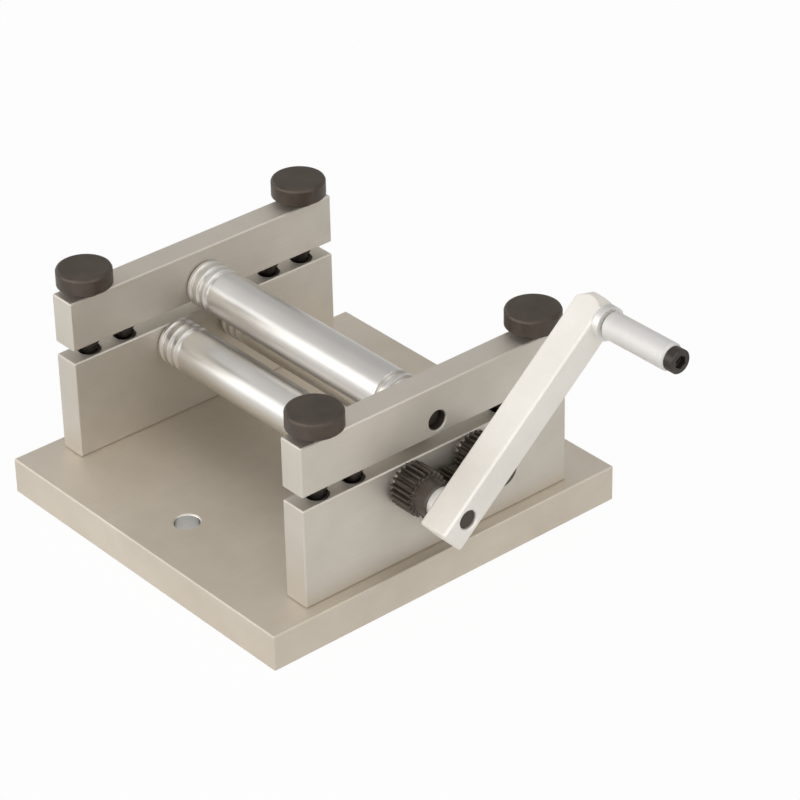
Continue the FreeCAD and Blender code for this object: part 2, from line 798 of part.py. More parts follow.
def make_idler_screw():
    """Shoulder screw in the right side plate that the idler turns on."""
    shoulder_end = gear_end + S.thrust_gap
    head_end = shoulder_end + S.idler_head_length
    body = turned("idler_shoulder_screw", "X", [
        (plate_inner + S.edge_break, ZERO),
        (plate_inner + S.edge_break, S.screw_radius),
        (plate_outer, S.screw_radius),
        (plate_outer, S.idler_pin_radius),
        (shoulder_end, S.idler_pin_radius),
        (shoulder_end, S.idler_head_radius),
        (head_end - S.gear_break, S.idler_head_radius),
        (head_end, S.idler_head_radius - S.gear_break),
        (head_end, ZERO),
    ])
    hexagon_socket(body, "YZ_Plane", head_end, against_normal=True)
    place(body, z=idler_z)
    return body


def make_thrust_washers():
    """Plain washers on the side plate, behind each of the three gears."""
    washer = turned("thrust_washer_pattern", "X", ring_points(
        plate_outer, plate_outer + S.thrust_washer_thickness, S.journal_radius + S.grip_clearance,
        S.thrust_washer_radius))
    spots = [(ZERO, S.lower_roll_offset * end, lower_roll_z) for end in BOTH]
    spots.append((ZERO, ZERO, idler_z))
    return copies("thrust_washers", washer, spots)


# ---------------------------------------------------------------- crank and handle


def make_spacer():
    """Collar on the shaft between the front gear's hub and the crank arm."""
    body = turned("crank_spacer", "X", ring_points(
        hub_end, arm_start, S.journal_radius + S.fixed_clearance, S.spacer_radius))
    place(body, y=-S.lower_roll_offset, z=lower_roll_z)
    return body


def make_arm():
    """Flat-sided bar with a turned tip, bored for the shaft and threaded for the handle."""
    body = new_body("crank_arm")
    half = S.arm_width / 2
    arm_top = S.crank_length + S.arm_tip
    outline = new_sketch(body, "YZ_Plane", "outline")
    draw_rectangle(outline, -S.arm_foot, -half, arm_top, half)
    chamfer(body, pad(body, outline, S.arm_thickness), S.arm_break)
    tip = new_sketch(body, "YZ_Plane", "tip_profile", S.arm_thickness / 2)
    beyond = S.arm_thickness + S.arm_width
    draw_outline(tip, [
        (arm_top, S.arm_tip_radius),
        (arm_top, beyond),
        (arm_top + S.arm_tip_radius - beyond, beyond),
    ])
    turning = add_feature(body, "Groove", "tip_turning", tip)
    turning.ReferenceAxis = (tip, ["H_Axis"])
    turning.Angle = 360
    shaft_bore = S.journal_radius + S.fixed_clearance
    bores = new_sketch(body, "YZ_Plane", "bores", S.arm_thickness)
    draw_circle(bores, ZERO, ZERO, shaft_bore)
    draw_circle(bores, S.crank_length, ZERO, S.screw_radius + S.fixed_clearance)
    bored = pocket(body, bores, S.arm_thickness, "boring")
    chamfer(body, bored, S.hole_break, "bore_rim", round_rim(Vector(1, 0, 0), S.arm_thickness, shaft_bore))
    foot = new_sketch(body, "XZ_Plane", "foot_circle", S.arm_foot)
    draw_circle(foot, S.arm_thickness / 2, ZERO, S.arm_screw_radius + S.fixed_clearance)
    pocket(body, foot, S.arm_foot, "foot_thread")
    place(body, x=arm_start, y=-S.lower_roll_offset, z=lower_roll_z, turn=S.crank_angle)
    return body


def place_at_handle(body):
    """Puts a piece that lies along X on the handle's axis, at the end of the crank."""
    y = S.crank_length * cosine(S.crank_angle) - S.lower_roll_offset
    z = S.crank_length * sine(S.crank_angle) + lower_roll_z
    place(body, y=y, z=z)
    return body


def make_arm_screw():
    """Grub screw from the arm's foot on to the shaft, a little below flush."""
    middle = arm_start + S.arm_thickness / 2
    return make_set_screw("crank_set_screw", S.arm_screw_radius, S.arm_foot - S.arm_break, middle,
                          -S.lower_roll_offset, S.crank_angle + 90)


def make_handle_screw():
    """Shoulder of the handle: threads into the arm, its socket head keeps the grip on."""
    head_end = handle_head_start + S.handle_head_length
    body = turned("handle_screw", "X", [
        (arm_end - S.handle_thread_reach, ZERO),
        (arm_end - S.handle_thread_reach, S.screw_radius),
        (handle_head_start, S.screw_radius),
        (handle_head_start, S.screw_head_radius),
        (head_end - S.gear_break, S.screw_head_radius),
        (head_end, S.screw_head_radius - S.gear_break),
        (head_end, ZERO),
    ])
    hexagon_socket(body, "YZ_Plane", head_end, against_normal=True)
    return place_at_handle(body)


def make_handle_washer():
    body = turned("handle_washer", "X", ring_points(
        arm_end, arm_end + S.handle_washer_thickness, S.screw_radius + S.grip_clearance,
        S.handle_washer_radius))
    return place_at_handle(body)


def make_grip():
    """Turned grip that spins on the handle screw."""
    bore = S.screw_radius + S.grip_clearance
    body = turned("handle_grip", "X", [
        (grip_start, bore),
        (grip_start, S.grip_radius - S.grip_break),
        (grip_start + S.grip_break, S.grip_radius),
        (grip_end - S.grip_break, S.grip_radius),
        (grip_end, S.grip_radius - S.grip_break),
        (grip_end, bore),
    ])
    return place_at_handle(body)


# ---------------------------------------------------------------- the whole machine

pieces = [make_base(), make_side_screws(), make_guide_pins()]
for name, side in SIDES:
    pieces.append(make_side_plate(name, side))
    pieces.append(make_upper_bar(name, side))
    for end_name, end in (("front", -1), ("rear", 1)):
        pieces.append(make_thumbscrew("%s_%s_thumbscrew" % (end_name, name), side, end))
pieces.append(make_springs())

recessed_end = plate_outer - S.journal_recess
pieces.append(make_roll("upper_roll", ZERO, upper_roll_z, recessed_end))
pieces.append(make_roll("front_lower_roll", -S.lower_roll_offset, lower_roll_z, arm_end - S.shaft_recess))
pieces.append(make_roll("rear_lower_roll", S.lower_roll_offset, lower_roll_z, hub_end))

pieces.append(make_roll_gear("front_gear", -S.lower_roll_offset, front_gear_turn))
pieces.append(make_roll_gear("rear_gear", S.lower_roll_offset, rear_gear_turn))
pieces.append(make_idler())
pieces.append(make_gear_screw("front_gear_set_screw", -S.lower_roll_offset, front_gear_turn))
pieces.append(make_gear_screw("rear_gear_set_screw", S.lower_roll_offset, rear_gear_turn))
pieces.append(make_idler_screw())
pieces.append(make_thrust_washers())

pieces.append(make_spacer())
pieces.append(make_arm())
pieces.append(make_arm_screw())
pieces.append(make_handle_screw())
pieces.append(make_handle_washer())
pieces.append(make_grip())

doc.recompute()

# ---------------------------------------------------------------- check and write

for thing in doc.Objects:
    for bad in ("Invalid", "Error"):
        if bad in thing.State:
            raise RuntimeError("%s is %s" % (thing.Label, bad))
for piece in pieces:
    if piece.Shape.isNull() or not piece.Shape.isValid() or not piece.Shape.Solids:
        raise RuntimeError("%s has no sound shape" % piece.Label)

os.makedirs("parts", exist_ok=True)
for piece in pieces:
    piece.Shape.exportStep("parts/%s.step" % piece.Label)
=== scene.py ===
import math

import bmesh
import bpy
from mathutils import Matrix, Vector


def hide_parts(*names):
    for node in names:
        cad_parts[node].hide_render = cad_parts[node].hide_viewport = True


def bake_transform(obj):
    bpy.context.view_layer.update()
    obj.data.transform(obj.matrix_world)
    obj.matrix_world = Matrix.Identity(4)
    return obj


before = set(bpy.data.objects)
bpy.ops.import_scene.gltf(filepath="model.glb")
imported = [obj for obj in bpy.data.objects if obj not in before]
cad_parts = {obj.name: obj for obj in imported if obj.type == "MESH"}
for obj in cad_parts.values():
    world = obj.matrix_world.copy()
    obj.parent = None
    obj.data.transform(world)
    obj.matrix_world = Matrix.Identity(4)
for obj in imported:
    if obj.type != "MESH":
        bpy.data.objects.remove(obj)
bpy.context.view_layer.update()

# Slip roll machine, in metres. X runs along the rolls towards the crank, Y to the back, Z up.
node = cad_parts

# ---------------------------------------------------------------- base plate
# The base is one slab of rolled aluminium plate, sawn to size, with its grain front to back,
# its edges broken with a file and two bolt holes drilled on the middle line.


def shade(tree, kind, feeds=None, **settings):
    """A shader node of this kind; feeds gives a socket its number, colour or link."""
    made = tree.nodes.new("ShaderNode" + kind)
    for name, value in settings.items():
        setattr(made, name, value)
    for socket, value in (feeds or {}).items():
        if isinstance(value, bpy.types.NodeSocket):
            tree.links.new(value, made.inputs[socket])
        else:
            made.inputs[socket].default_value = value
    return made


def new_group(name, inputs, outputs):
    """An empty shader group with its sockets, and its own two end nodes."""
    group = bpy.data.node_groups.new(name, "ShaderNodeTree")
    for label, kind, value in inputs:
        socket = group.interface.new_socket(label, in_out="INPUT", socket_type="NodeSocket" + kind)
        socket.default_value = value
    for label, kind in outputs:
        group.interface.new_socket(label, in_out="OUTPUT", socket_type="NodeSocket" + kind)
    start = group.nodes.new("NodeGroupInput")
    end = group.nodes.new("NodeGroupOutput")
    return group, start, end


def place_group(tree, group, feeds):
    """One use of a shader group in a material."""
    return shade(tree, "Group", feeds, node_tree=group)


def make_drawn_grain():
    """Fine lines left by rolling or brushing, and the slow clouds of a handled surface."""
    group, start, end = new_group(
        "drawn_grain",
        [("Place", "Vector", (0, 0, 0)), ("Stretch", "Vector", (1, 1, 1)),
         ("Clouds per metre", "Float", 30.0)],
        [("Lines", "Float"), ("Clouds", "Float")],
    )
    long = shade(group, "VectorMath", {0: start.outputs["Place"], 1: start.outputs["Stretch"]},
                 operation="MULTIPLY")
    lines = shade(group, "TexNoise", {"Vector": long.outputs[0], "Scale": 1.0,
                                      "Detail": 5.0, "Roughness": 0.6})
    clouds = shade(group, "TexNoise", {"Vector": start.outputs["Place"],
                                       "Scale": start.outputs["Clouds per metre"],
                                       "Detail": 3.0, "Roughness": 0.55})
    group.links.new(lines.outputs["Fac"], end.inputs["Lines"])
    group.links.new(clouds.outputs["Fac"], end.inputs["Clouds"])
    return group


def make_worn_edges():
    """Rounded normals along the edges, and a broken mask of where handling has polished them."""
    group, start, end = new_group(
        "worn_edges",
        [("Place", "Vector", (0, 0, 0)), ("Radius", "Float", 0.0004), ("Wear", "Float", 0.6)],
        [("Mask", "Float"), ("Normal", "Vector")],
    )
    soft = shade(group, "Bevel", {"Radius": start.outputs["Radius"]}, samples=6)
    plain = shade(group, "NewGeometry")
    turn = shade(group, "VectorMath", {0: soft.outputs[0], 1: plain.outputs["Normal"]},
                 operation="DOT_PRODUCT")
    edge = shade(group, "MapRange", {"Value": turn.outputs["Value"],
                                     "From Min": 0.99, "From Max": 0.86})
    patch = shade(group, "TexNoise", {"Vector": start.outputs["Place"],
                                      "Scale": 260.0, "Detail": 3.0})
    broken = shade(group, "MapRange", {"Value": patch.outputs["Fac"],
                                       "From Min": 0.32, "From Max": 0.62})
    rubbed = shade(group, "Math", {0: edge.outputs["Result"], 1: broken.outputs["Result"]},
                   operation="MULTIPLY")
    mask = shade(group, "Math", {0: rubbed.outputs[0], 1: start.outputs["Wear"]},
                 operation="MULTIPLY")
    group.links.new(mask.outputs[0], end.inputs["Mask"])
    group.links.new(soft.outputs[0], end.inputs["Normal"])
    return group


drawn_grain = make_drawn_grain()
worn_edges = make_worn_edges()


def mix(tree, share, one, other):
    """One colour over another by a share."""
    return shade(tree, "Mix", {0: share, 6: one, 7: other}, data_type="RGBA").outputs[2]


def new_finish(name):
    """An empty material, its tree, its Principled shader and the piece's own coordinates."""
    material = bpy.data.materials.new(name)
    material.use_nodes = True
    tree = material.node_tree
    tree.nodes.clear()
    surface = shade(tree, "BsdfPrincipled")
    output = shade(tree, "OutputMaterial", {"Surface": surface.outputs[0]})
    output.is_active_output = True
    place = shade(tree, "TexCoord").outputs["Object"]
    return material, tree, surface, place


noise_low, noise_high = 0.3, 0.7


def stretch_noise(tree, noise, low=0.0, high=1.0):
    """Spreads the middle of a noise, where most of it lies, from low to high."""
    return shade(tree, "MapRange", {"Value": noise, "From Min": noise_low, "From Max": noise_high,
                                    "To Min": low, "To Max": high}).outputs["Result"]


def drawn_metal(name, light, dark, bright, stretch, roughness, spread, depth,
                edge=0.0003, wear=0.3):
    """Aluminium with drawn lines along one way, clouds of tone and gloss, and polished edges."""
    material, tree, surface, place = new_finish(name)
    grain = place_group(tree, drawn_grain, {"Place": place, "Stretch": stretch,
                                            "Clouds per metre": 28.0})
    edges = place_group(tree, worn_edges, {"Place": place, "Radius": edge, "Wear": wear})
    cloudy = mix(tree, stretch_noise(tree, grain.outputs["Clouds"]), light, dark)
    lined = mix(tree, stretch_noise(tree, grain.outputs["Lines"], high=0.35), cloudy, dark)
    colour = mix(tree, edges.outputs["Mask"], lined, bright)
    gloss = shade(tree, "Math", {0: grain.outputs["Lines"], 1: grain.outputs["Clouds"]},
                  operation="ADD")
    rough = shade(tree, "MapRange", {"Value": gloss.outputs[0], "From Min": 0.7, "From Max": 1.3,
                                     "To Min": roughness - spread, "To Max": roughness + spread})
    bump = shade(tree, "Bump", {"Strength": 0.5, "Distance": depth,
                                "Height": grain.outputs["Lines"],
                                "Normal": edges.outputs["Normal"]})
    tree.links.new(colour, surface.inputs["Base Color"])
    tree.links.new(rough.outputs["Result"], surface.inputs["Roughness"])
    tree.links.new(bump.outputs[0], surface.inputs["Normal"])
    surface.inputs["Metallic"].default_value = 1.0
    return material


def finish_pieces(material, *names):
    """Gives the machine's rigid pieces their finish."""
    for name in names:
        node[name].data.materials.clear()
        node[name].data.materials.append(material)


front_to_back = (2600.0, 60.0, 2600.0)
base_light = (0.745, 0.685, 0.595, 1)
base_dark = (0.66, 0.60, 0.515, 1)
filed_edge = (0.90, 0.87, 0.81, 1)

base_aluminium = drawn_metal("base_aluminium", base_light, base_dark, filed_edge, front_to_back,
                             roughness=0.60, spread=0.05, depth=0.00002)
bolt_holes = ((0, -0.064), (0, 0.064))
bolt_hole_radius = 0.00525
drilled_from = bolt_hole_radius + 0.0003
drilled_fully = bolt_hole_radius + 0.0001
drilled_bright = (0.95, 0.94, 0.92, 1)
drilled_gloss = 0.22


def polish_the_bolt_holes(material):
    """The drill leaves the walls of the bolt holes brighter and smoother than the sawn plate."""
    tree = material.node_tree
    surface = tree.nodes["Principled BSDF"]
    place = shade(tree, "TexCoord").outputs["Object"]
    flat = shade(tree, "VectorMath", {0: place, 1: (1, 1, 0)}, operation="MULTIPLY").outputs[0]
    colour = surface.inputs["Base Color"].links[0].from_socket
    rough = surface.inputs["Roughness"].links[0].from_socket
    for x, y in bolt_holes:
        reach = shade(tree, "VectorMath", {0: flat, 1: (x, y, 0)},
                      operation="DISTANCE").outputs["Value"]
        inside = shade(tree, "MapRange", {"Value": reach, "From Min": drilled_from,
                                          "From Max": drilled_fully}).outputs["Result"]
        colour = mix(tree, inside, colour, drilled_bright)
        rough = shade(tree, "Mix", {0: inside, 2: rough, 3: drilled_gloss},
                      data_type="FLOAT").outputs[0]
    tree.links.new(colour, surface.inputs["Base Color"])
    tree.links.new(rough, surface.inputs["Roughness"])


polish_the_bolt_holes(base_aluminium)
finish_pieces(base_aluminium, "base_plate")

# ---------------------------------------------------------------- side plates and upper bars
# Four pieces of the same drawn flat bar, sawn and filed square. The lower pair are screwed up
# from under the base; the upper pair float on springs and carry the upper roll.

bore_axes = ((0, 0.0721), (-0.0162, 0.0513), (0.0162, 0.0513))
bore_radius = 0.0041
bore_shade_from = bore_radius + 0.0004
# The bore walls are painted dark: painted shade of the deep bores, with some oil.
bore_oil_and_shade = (0.14, 0.12, 0.10, 1)
bar_light = (0.725, 0.68, 0.61, 1)
bar_dark = (0.64, 0.60, 0.535, 1)
bar_aluminium = drawn_metal("bar_aluminium", bar_light, bar_dark, filed_edge, front_to_back,
                            roughness=0.58, spread=0.05, depth=0.000015)


def shade_the_bores(material):
    """Paints shade, with some oil, on the walls of the bores that the journals run in: darker
    inside the bores.
    """
    tree = material.node_tree
    surface = tree.nodes["Principled BSDF"]
    place = shade(tree, "TexCoord").outputs["Object"]
    flat = shade(tree, "VectorMath", {0: place, 1: (0, 1, 1)}, operation="MULTIPLY").outputs[0]
    colour = surface.inputs["Base Color"].links[0].from_socket
    for y, z in bore_axes:
        reach = shade(tree, "VectorMath", {0: flat, 1: (0, y, z)},
                      operation="DISTANCE").outputs["Value"]
        inside = shade(tree, "MapRange", {"Value": reach, "From Min": bore_shade_from,
                                          "From Max": bore_radius}).outputs["Result"]
        colour = mix(tree, inside, colour, bore_oil_and_shade)
    tree.links.new(colour, surface.inputs["Base Color"])


shade_the_bores(bar_aluminium)
finish_pieces(bar_aluminium, "left_side_plate", "right_side_plate",
              "left_upper_bar", "right_upper_bar")

# ---------------------------------------------------------------- pressure springs
# Eight short compression springs of blackened round wire, with closed and ground ends. One
# stands round each thumbscrew and each guide pin and lifts the upper bar off the side plate.

spring_x = 0.072
spring_y = (0.0375, 0.055)
spring_foot, spring_head = 0.0568, 0.0689
spring_outside = 0.0044
spring_wire = 0.0011
spring_turns = 3.5
closed_turns = 0.5


def add_coil(mesh, x, y):
    """One coil of round wire, flat over its first and last half turns."""
    steps_per_turn, round_wire = 28, 10
    steps = int(spring_turns * steps_per_turn)
    middle = spring_outside - spring_wire / 2
    low = spring_foot + spring_wire / 2
    climb = spring_head - spring_foot - spring_wire
    rings = []
    for step in range(steps + 1):
        turn = step / steps_per_turn
        share = min(1.0, max(0.0, (turn - closed_turns) / (spring_turns - 2 * closed_turns)))
        angle = 2 * math.pi * turn
        ring = []
        for side in range(round_wire):
            around = 2 * math.pi * side / round_wire
            radius = middle + math.cos(around) * spring_wire / 2
            height = low + climb * share + math.sin(around) * spring_wire / 2
            spot = (x + radius * math.cos(angle), y + radius * math.sin(angle), height)
            ring.append(mesh.verts.new(spot))
        rings.append(ring)
    for here, after in zip(rings, rings[1:]):
        for side in range(round_wire):
            other = (side + 1) % round_wire
            face = mesh.faces.new((here[side], after[side], after[other], here[other]))
            face.smooth = True
    mesh.faces.new(rings[0])
    mesh.faces.new(reversed(rings[-1]))


def make_object(name, mesh, material):
    """A mesh as an object of the scene, with its finish."""
    data = bpy.data.meshes.new(name)
    bmesh.ops.recalc_face_normals(mesh, faces=mesh.faces)
    mesh.to_mesh(data)
    mesh.free()
    data.materials.append(material)
    made = bpy.data.objects.new(name, data)
    bpy.context.scene.collection.objects.link(made)
    return made


def make_speckle():
    """The uneven grey-brown of a chemical black: fine speckle over broad stains."""
    group, start, end = new_group(
        "black_speckle",
        [("Place", "Vector", (0, 0, 0)), ("Specks per metre", "Float", 2500.0),
         ("Stains per metre", "Float", 130.0)],
        [("Specks", "Float"), ("Stains", "Float")],
    )
    specks = shade(group, "TexNoise", {"Vector": start.outputs["Place"],
                                       "Scale": start.outputs["Specks per metre"],
                                       "Detail": 3.0, "Roughness": 0.65})
    stains = shade(group, "TexNoise", {"Vector": start.outputs["Place"],
                                       "Scale": start.outputs["Stains per metre"],
                                       "Detail": 4.0, "Roughness": 0.6})
    group.links.new(specks.outputs["Fac"], end.inputs["Specks"])
    group.links.new(stains.outputs["Fac"], end.inputs["Stains"])
    return group


black_speckle = make_speckle()
black_gloss_spread = 0.06


def black_metal(name, light, dark, bare, roughness, edge=0.0003, wear=0.35):
    """Steel under a chemical black, stained in patches and rubbed towards bare on its edges."""
    material, tree, surface, place = new_finish(name)
    speckle = place_group(tree, black_speckle, {"Place": place})
    edges = place_group(tree, worn_edges, {"Place": place, "Radius": edge, "Wear": wear})
    stained = mix(tree, stretch_noise(tree, speckle.outputs["Stains"]), dark, light)
    grain = shade(tree, "MapRange", {"Value": speckle.outputs["Specks"],
                                     "From Min": 0.35, "From Max": 0.7,
                                     "To Min": 0.0, "To Max": 0.4})
    specked = mix(tree, grain.outputs["Result"], stained, light)
    colour = mix(tree, edges.outputs["Mask"], specked, bare)
    rough = stretch_noise(tree, speckle.outputs["Stains"],
                          roughness - black_gloss_spread, roughness + black_gloss_spread)
    bump = shade(tree, "Bump", {"Strength": 0.4, "Distance": 0.00003,
                                "Height": speckle.outputs["Specks"],
                                "Normal": edges.outputs["Normal"]})
    tree.links.new(colour, surface.inputs["Base Color"])
    tree.links.new(rough, surface.inputs["Roughness"])
    tree.links.new(bump.outputs[0], surface.inputs["Normal"])
    surface.inputs["Metallic"].default_value = 0.55
    return material


spring_light = (0.048, 0.036, 0.026, 1)
spring_dark = (0.020, 0.015, 0.011, 1)
rubbed_black = (0.12, 0.11, 0.10, 1)
spring_black = black_metal("spring_black", spring_light, spring_dark, rubbed_black,
                           roughness=0.5, edge=0.0002)
coils = bmesh.new()
for x in (-spring_x, spring_x):
    for y in spring_y:
        add_coil(coils, x, y)
        add_coil(coils, x, -y)
springs = make_object("coil_springs", coils, spring_black)
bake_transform(springs)
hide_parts("pressure_springs")

# ---------------------------------------------------------------- thumbscrews
# Four screws turned from one bar of steel: a thick flat head with rounded rims, a short hub and
# a threaded shank. They are blackened and press the upper bars down against the springs.

knob_light = (0.100, 0.079, 0.062, 1)
knob_dark = (0.064, 0.049, 0.038, 1)
knob_bare = (0.30, 0.26, 0.22, 1)
knob_black = black_metal("knob_black", knob_light, knob_dark, knob_bare, roughness=0.42)
# Below this height the shanks are painted dark: painted shade in the gap under the upper bars.
shank_shade_top = 0.0660
shank_shade_dark = (0.02, 0.017, 0.014, 1)


def shade_the_shanks(material):
    """Paints shade on the shanks below the upper bars, where they run in the springs and the side
    plates.
    """
    tree = material.node_tree
    surface = tree.nodes["Principled BSDF"]
    height = shade(tree, "SeparateXYZ", {0: shade(tree, "TexCoord").outputs["Object"]}).outputs["Z"]
    in_shade = shade(tree, "Math", {0: height, 1: shank_shade_top}, operation="LESS_THAN").outputs[0]
    unshaded_colour = surface.inputs["Base Color"].links[0].from_socket
    tree.links.new(mix(tree, in_shade, unshaded_colour, shank_shade_dark), surface.inputs["Base Color"])


shade_the_shanks(knob_black)
finish_pieces(knob_black, "front_left_thumbscrew", "front_right_thumbscrew",
              "rear_left_thumbscrew", "rear_right_thumbscrew")

# ---------------------------------------------------------------- guide pins
# Plain round dowels of ground steel, painted dark for the shade in the gaps under the upper
# bars, two pressed into the top of each side plate. The upper bars slide up and down on them.


def make_turned_lines():
    """Fine rings round an axis, as a lathe or a cylindrical grinder leaves them."""
    group, start, end = new_group(
        "turned_lines",
        [("Place", "Vector", (0, 0, 0)), ("Centre", "Vector", (0, 0, 0)),
         ("Axis", "Vector", (1, 0, 0)), ("Rings per metre", "Float", 3000.0)],
        [("Rings", "Float"), ("Clouds", "Float")],
    )
    offset = shade(group, "VectorMath", {0: start.outputs["Place"], 1: start.outputs["Centre"]},
                   operation="SUBTRACT")
    along = shade(group, "VectorMath", {0: offset.outputs[0], 1: start.outputs["Axis"]},
                  operation="DOT_PRODUCT")
    across = shade(group, "VectorMath", {0: offset.outputs[0], 1: start.outputs["Axis"]},
                   operation="CROSS_PRODUCT")
    reach = shade(group, "VectorMath", {0: across.outputs[0]}, operation="LENGTH")
    spot = shade(group, "CombineXYZ", {0: along.outputs["Value"], 1: reach.outputs["Value"]})
    rings = shade(group, "TexNoise", {"Vector": spot.outputs[0],
                                      "Scale": start.outputs["Rings per metre"],
                                      "Detail": 4.0, "Roughness": 0.6})
    clouds = shade(group, "TexNoise", {"Vector": start.outputs["Place"],
                                       "Scale": 60.0, "Detail": 3.0})
    group.links.new(rings.outputs["Fac"], end.inputs["Rings"])
    group.links.new(clouds.outputs["Fac"], end.inputs["Clouds"])
    return group


turned_lines = make_turned_lines()


def turned_metal(name, light, dark, bright, centre, axis, rings, roughness, spread, depth,
                 edge=0.0003, wear=0.5):
    """Bare metal turned or ground round an axis, with brighter edges."""
    material, tree, surface, place = new_finish(name)
    marks = place_group(tree, turned_lines, {"Place": place, "Centre": centre, "Axis": axis,
                                             "Rings per metre": rings})
    edges = place_group(tree, worn_edges, {"Place": place, "Radius": edge, "Wear": wear})
    cloudy = mix(tree, stretch_noise(tree, marks.outputs["Clouds"]), light, dark)
    ringed = mix(tree, stretch_noise(tree, marks.outputs["Rings"], high=0.4), cloudy, dark)
    colour = mix(tree, edges.outputs["Mask"], ringed, bright)
    rough = stretch_noise(tree, marks.outputs["Rings"], roughness - spread, roughness + spread)
    bump = shade(tree, "Bump", {"Strength": 0.5, "Distance": depth,
                                "Height": marks.outputs["Rings"],
                                "Normal": edges.outputs["Normal"]})
    tree.links.new(colour, surface.inputs["Base Color"])
    tree.links.new(rough, surface.inputs["Roughness"])
    tree.links.new(bump.outputs[0], surface.inputs["Normal"])
    surface.inputs["Metallic"].default_value = 1.0
    return material


# The pins' colours are painted shade of the gap under the upper bars, not the steel's own colour.
shaded_pin_light = (0.06, 0.051, 0.045, 1)
shaded_pin_dark = (0.035, 0.030, 0.026, 1)
upright = (0, 0, 1)
shaded_pin_steel = turned_metal("shaded_pin_steel", shaded_pin_light, shaded_pin_dark, rubbed_black, (0, 0, 0), upright,
                         rings=2500.0, roughness=0.40, spread=0.05, depth=0.00001)
finish_pieces(shaded_pin_steel, "guide_pins")

# ---------------------------------------------------------------- rolls
# Three rolls of bright steel, ground round and polished, with three wire grooves turned in at
# each end. Their journals run in plain bores in the side plates and the upper bars.

roll_z, upper_z = 0.0513, 0.0721
roll_y = 0.0162
roll_light = (0.75, 0.73, 0.70, 1)
roll_dark = (0.70, 0.68, 0.65, 1)
roll_bright = (0.92, 0.90, 0.86, 1)
# The journals' colour is painted shade of the recesses they sit in, with some oil.
journal_oil_and_shade = (0.10, 0.085, 0.072, 1)
roll_shoulder = 0.0658
along_x = (1, 0, 0)


def roll_steel(name, y, z):
    """The roll's own steel, painted dark on the journals beyond its shoulders: painted shade of the
    recesses they sit in, with some oil.
    """
    material = turned_metal(name, roll_light, roll_dark, roll_bright, (0, y, z), along_x,
                            rings=2600.0, roughness=0.33, spread=0.03, depth=0.000004, wear=0.7)
    tree = material.node_tree
    surface = tree.nodes["Principled BSDF"]
    along = shade(tree, "SeparateXYZ", {0: shade(tree, "TexCoord").outputs["Object"]}).outputs["X"]
    reach = shade(tree, "Math", {0: along}, operation="ABSOLUTE")
    journal = shade(tree, "Math", {0: reach.outputs[0], 1: roll_shoulder}, operation="GREATER_THAN")
    bare = surface.inputs["Base Color"].links[0].from_socket
    tree.links.new(mix(tree, journal.outputs[0], bare, journal_oil_and_shade), surface.inputs["Base Color"])
    return material


finish_pieces(roll_steel("upper_roll_steel", 0, upper_z), "upper_roll")
finish_pieces(roll_steel("front_roll_steel", -roll_y, roll_z), "front_lower_roll")
finish_pieces(roll_steel("rear_roll_steel", roll_y, roll_z), "rear_lower_roll")

# ---------------------------------------------------------------- gears and their screws
# Two steel pinions with hubs, hobbed and blackened, are held on the lower rolls by set screws.
# They mesh with a plain idler that runs on a black shoulder screw in the side plate.

gear_light = (0.120, 0.100, 0.083, 1)
gear_dark = (0.070, 0.058, 0.048, 1)
gear_bare = (0.42, 0.38, 0.33, 1)
gear_black = black_metal("gear_black", gear_light, gear_dark, gear_bare,
                         roughness=0.36, edge=0.00025, wear=0.55)
finish_pieces(gear_black, "front_gear", "rear_gear", "idler_gear")

# The side plates' cap screws and the crank's set screw are blackened like the gears' screws.
screw_light = (0.075, 0.062, 0.052, 1)
screw_dark = (0.035, 0.029, 0.024, 1)
screw_bare = (0.30, 0.27, 0.24, 1)
screw_black = black_metal("screw_black", screw_light, screw_dark, screw_bare, roughness=0.36)
finish_pieces(screw_black, "side_plate_screws", "front_gear_set_screw", "rear_gear_set_screw",
              "idler_shoulder_screw", "crank_set_screw")

washer_light = (0.74, 0.72, 0.68, 1)
washer_dark = (0.58, 0.56, 0.52, 1)
front_shaft = (0, -roll_y, roll_z)
washer_steel = turned_metal("washer_steel", washer_light, washer_dark, roll_bright, front_shaft,
                            along_x, rings=2200.0, roughness=0.28, spread=0.05, depth=0.00001)
finish_pieces(washer_steel, "thrust_washers")

# ---------------------------------------------------------------- crank spacer
# A turned steel collar on the front roll's shaft. It slides on before the crank arm and keeps
# the arm off the front gear.

collar_light = (0.84, 0.83, 0.81, 1)
collar_dark = (0.76, 0.75, 0.73, 1)
collar_bright = (0.93, 0.92, 0.90, 1)
spacer_steel = turned_metal("spacer_steel", collar_light, collar_dark, collar_bright, front_shaft,
                            along_x, rings=2200.0, roughness=0.50, spread=0.04, depth=0.000006)
finish_pieces(spacer_steel, "crank_spacer")

# ---------------------------------------------------------------- crank arm
# A bar of bright drawn aluminium, 14 by 13 mm, bored for the shaft at its foot and tapped for
# the handle screw near its tip. Its long edges are chamfered and the tip is turned to a cone.

arm_light = (0.93, 0.90, 0.85, 1)
arm_dark = (0.84, 0.81, 0.76, 1)
arm_bright = (0.92, 0.91, 0.89, 1)
arm_grain = (1800.0, 700.0, 700.0)
arm_aluminium = drawn_metal("arm_aluminium", arm_light, arm_dark, arm_bright, arm_grain,
                            roughness=0.68, spread=0.05, depth=0.000006, edge=0.0008, wear=0.0)
finish_pieces(arm_aluminium, "crank_arm")

# ---------------------------------------------------------------- handle
# A turned aluminium grip spins on a low-headed black socket screw that is screwed into the arm.
# A thick washer keeps it off the arm.

